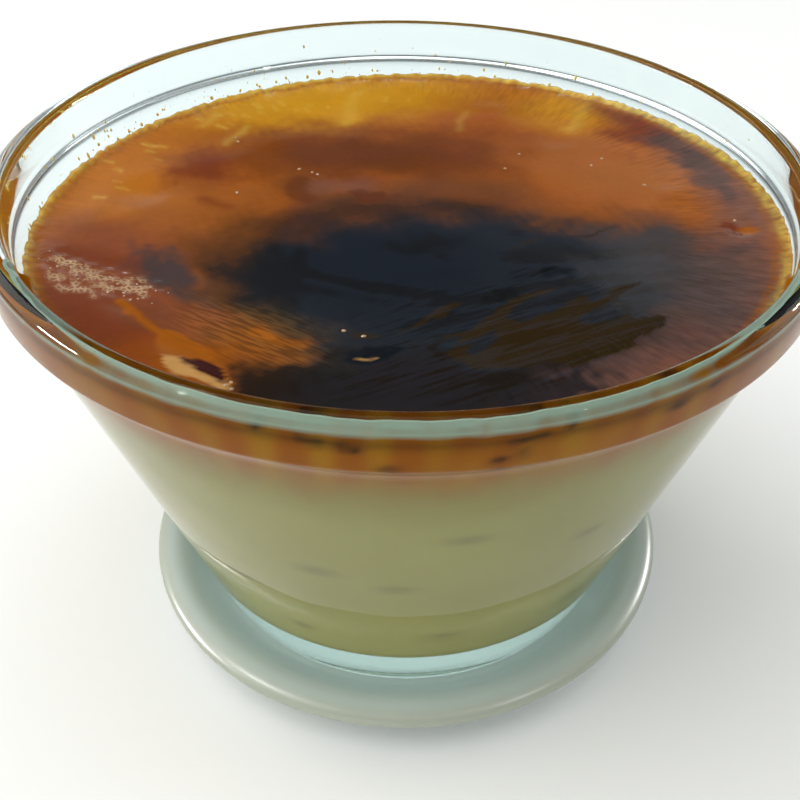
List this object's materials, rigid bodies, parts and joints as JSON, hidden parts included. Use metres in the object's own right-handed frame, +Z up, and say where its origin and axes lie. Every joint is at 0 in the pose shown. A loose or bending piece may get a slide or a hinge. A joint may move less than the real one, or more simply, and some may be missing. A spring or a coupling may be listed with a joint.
{
  "type": "baked egg custard in a glass cup on a saucer",
  "caption": "Round glass cup with straight flared sides and a proud rim band, filled nearly to the top with baked egg custard under a glossy browned skin, standing on a small shallow saucer.",
  "frame": {"origin": "middle of the saucer's foot ring, on the surface it stands on", "axes": "+Z up along the cup's axis; -Y towards the side shown in front, +X to the right"},
  "size_m": [0.092, 0.092, 0.0619],
  "materials": {
    "custard": "gloss",
    "cup_glass": "polished",
    "saucer_glaze": "gloss"
  },
  "bodies": {
    "root": {"custard": "custard", "glass_cup": "cup_glass", "saucer": "saucer_glaze"}
  },
  "joints": []
}
